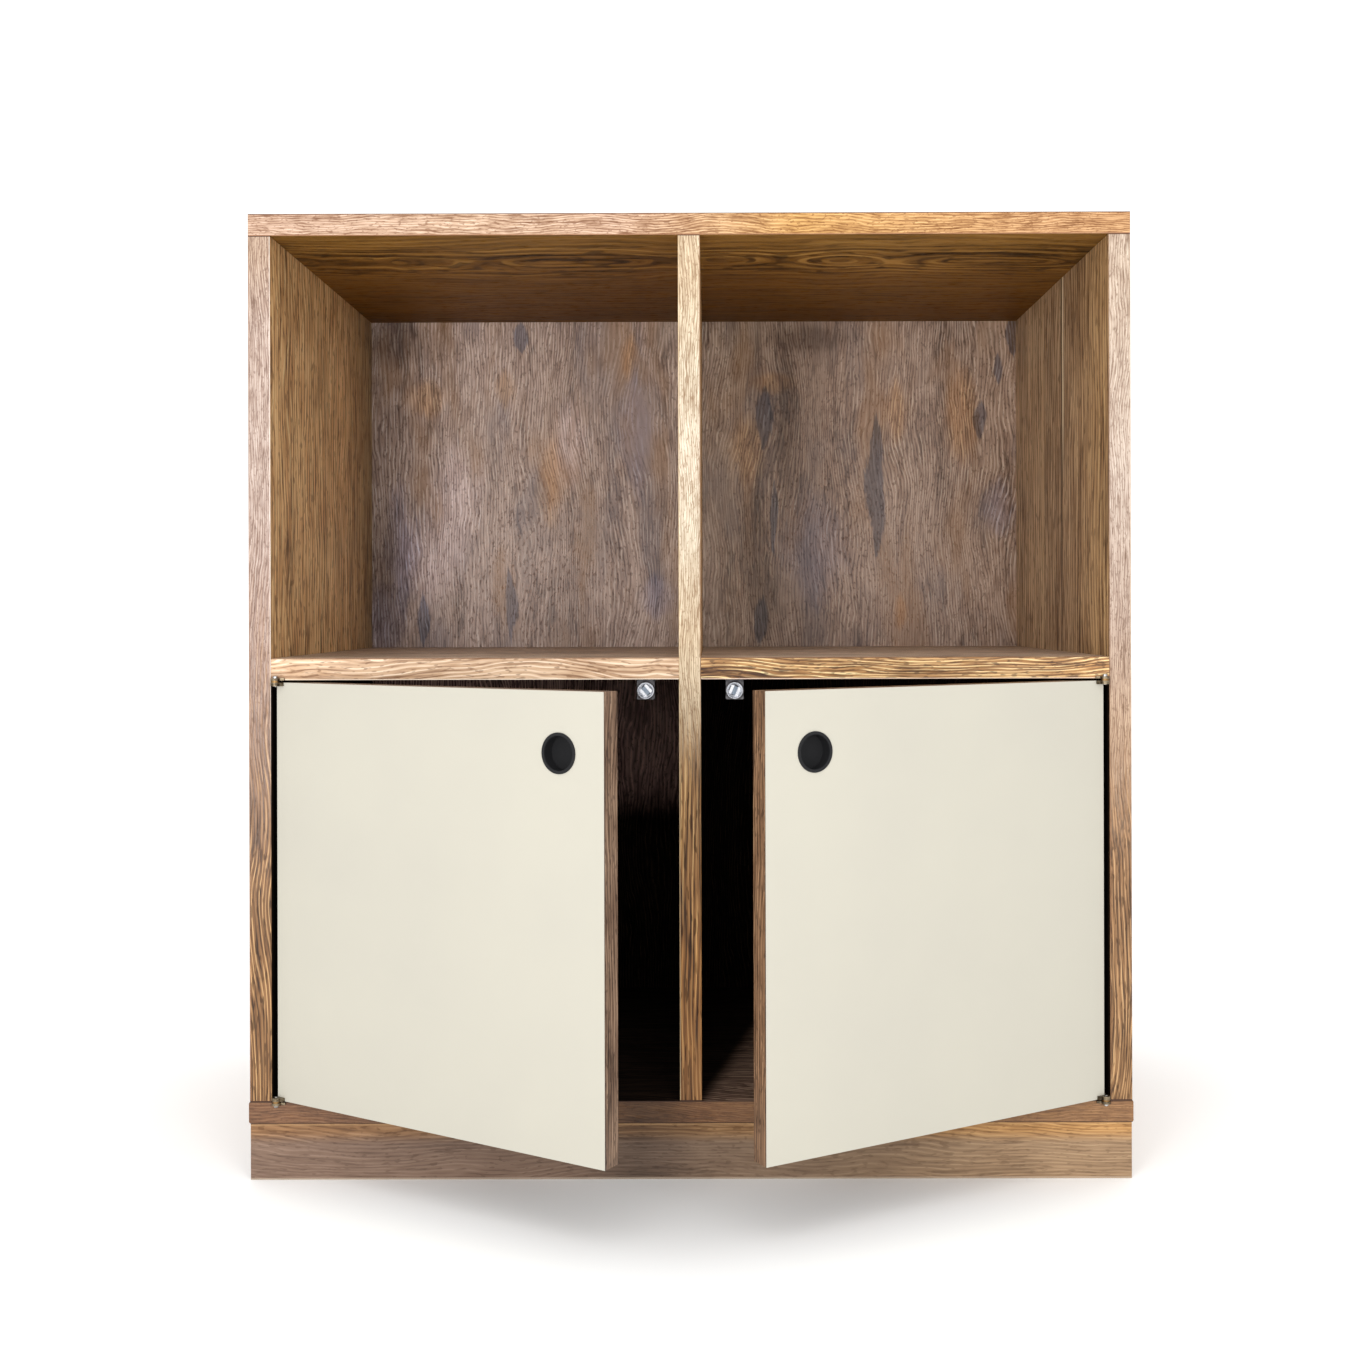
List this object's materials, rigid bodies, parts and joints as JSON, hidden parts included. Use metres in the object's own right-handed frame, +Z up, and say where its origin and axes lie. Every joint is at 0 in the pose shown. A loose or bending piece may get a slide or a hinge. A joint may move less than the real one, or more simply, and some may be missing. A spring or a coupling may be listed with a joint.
{
  "type": "credenza",
  "caption": "Upright wood-veneered credenza with open bays above a pair of cream-faced inset doors on a plain plinth, doors ajar.",
  "frame": {"origin": "on the floor, under the middle of the carcass and its plinth", "axes": "+X to the right seen from the front, +Y to the back, +Z up; the doors are on the -Y side"},
  "size_m": [0.764, 0.6095, 0.835],
  "materials": {
    "veneered_board": "open-pored satin, dark brown with golden streaks",
    "plinth_board": "open-pored satin, greyer brown",
    "back_board": "satin, grey-brown with bluish dark streaks",
    "solid_lipping": "oiled dark hardwood",
    "door_board": "raw particle board, hidden",
    "plain_softwood": "raw planed softwood and beech",
    "cream_laminate": "matt pressed laminate",
    "black_plastic": "matt moulded",
    "aged_brass": "dull, darkened with age",
    "bronze_bush": "turned, worn",
    "pin_steel": "turned",
    "cast_zinc": "satin die casting",
    "plated_steel": "bright zinc plate",
    "ferrite": "ground grey-blue",
    "screw_steel": "zinc plated"
  },
  "bodies": {
    "carcass": {"top_board": "veneered_board", "bottom_board": "veneered_board", "left_side": "veneered_board", "right_side": "veneered_board", "centre_divider": "veneered_board", "left_shelf": "veneered_board", "right_shelf": "veneered_board", "back_panel": "back_board", "back_panel_screws": "screw_steel", "carcass_dowels": "plain_softwood", "plinth_front": "plinth_board", "plinth_back": "plinth_board", "plinth_left": "plinth_board", "plinth_right": "plinth_board", "plinth_middle_rail": "plain_softwood", "plinth_glue_blocks": "plain_softwood", "plinth_screws": "screw_steel", "cabinet_hinge_screws": "aged_brass", "catch_screws": "screw_steel", "left_catch_housing": "cast_zinc", "upper_left_cabinet_leaf": "aged_brass", "upper_left_hinge_washer": "bronze_bush", "upper_left_hinge_pin": "pin_steel", "lower_left_cabinet_leaf": "aged_brass", "lower_left_hinge_washer": "bronze_bush", "lower_left_hinge_pin": "pin_steel", "right_catch_housing": "cast_zinc", "upper_right_cabinet_leaf": "aged_brass", "upper_right_hinge_washer": "bronze_bush", "upper_right_hinge_pin": "pin_steel", "lower_right_cabinet_leaf": "aged_brass", "lower_right_hinge_washer": "bronze_bush", "lower_right_hinge_pin": "pin_steel"},
    "left_door": {"left_door_core": "door_board", "left_door_face": "cream_laminate", "left_door_inner_veneer": "veneered_board", "left_door_lipping": "solid_lipping", "left_door_pull": "black_plastic", "left_strike_plate": "plated_steel", "left_strike_screw": "screw_steel", "left_door_hinge_screws": "aged_brass", "upper_left_door_leaf": "aged_brass", "lower_left_door_leaf": "aged_brass"},
    "left_catch_core": {"left_catch_poles": "plated_steel", "left_catch_magnet": "ferrite", "left_catch_rivet": "plated_steel"},
    "right_door": {"right_door_core": "door_board", "right_door_face": "cream_laminate", "right_door_inner_veneer": "veneered_board", "right_door_lipping": "solid_lipping", "right_door_pull": "black_plastic", "right_strike_plate": "plated_steel", "right_strike_screw": "screw_steel", "right_door_hinge_screws": "aged_brass", "upper_right_door_leaf": "aged_brass", "lower_right_door_leaf": "aged_brass"},
    "right_catch_core": {"right_catch_poles": "plated_steel", "right_catch_magnet": "ferrite", "right_catch_rivet": "plated_steel"}
  },
  "joints": [
    {"name": "left_door_hinge", "type": "hinge", "parent": "carcass", "child": "left_door", "pos_m": [-0.3575, -0.2175, 0.25], "axis": [0, 0, -1], "range_deg": [-31.4, 148.6]},
    {"name": "right_door_hinge", "type": "hinge", "parent": "carcass", "child": "right_door", "pos_m": [0.3575, -0.2175, 0.25], "axis": [0, 0, 1], "range_deg": [-30.2, 149.8]},
    {"name": "left_catch_core_turn", "type": "hinge", "parent": "carcass", "child": "left_catch_core", "pos_m": [-0.039, -0.19, 0.4213], "axis": [0, -1, 0], "continuous": true},
    {"name": "right_catch_core_turn", "type": "hinge", "parent": "carcass", "child": "right_catch_core", "pos_m": [0.039, -0.19, 0.4213], "axis": [0, -1, 0], "continuous": true}
  ]
}
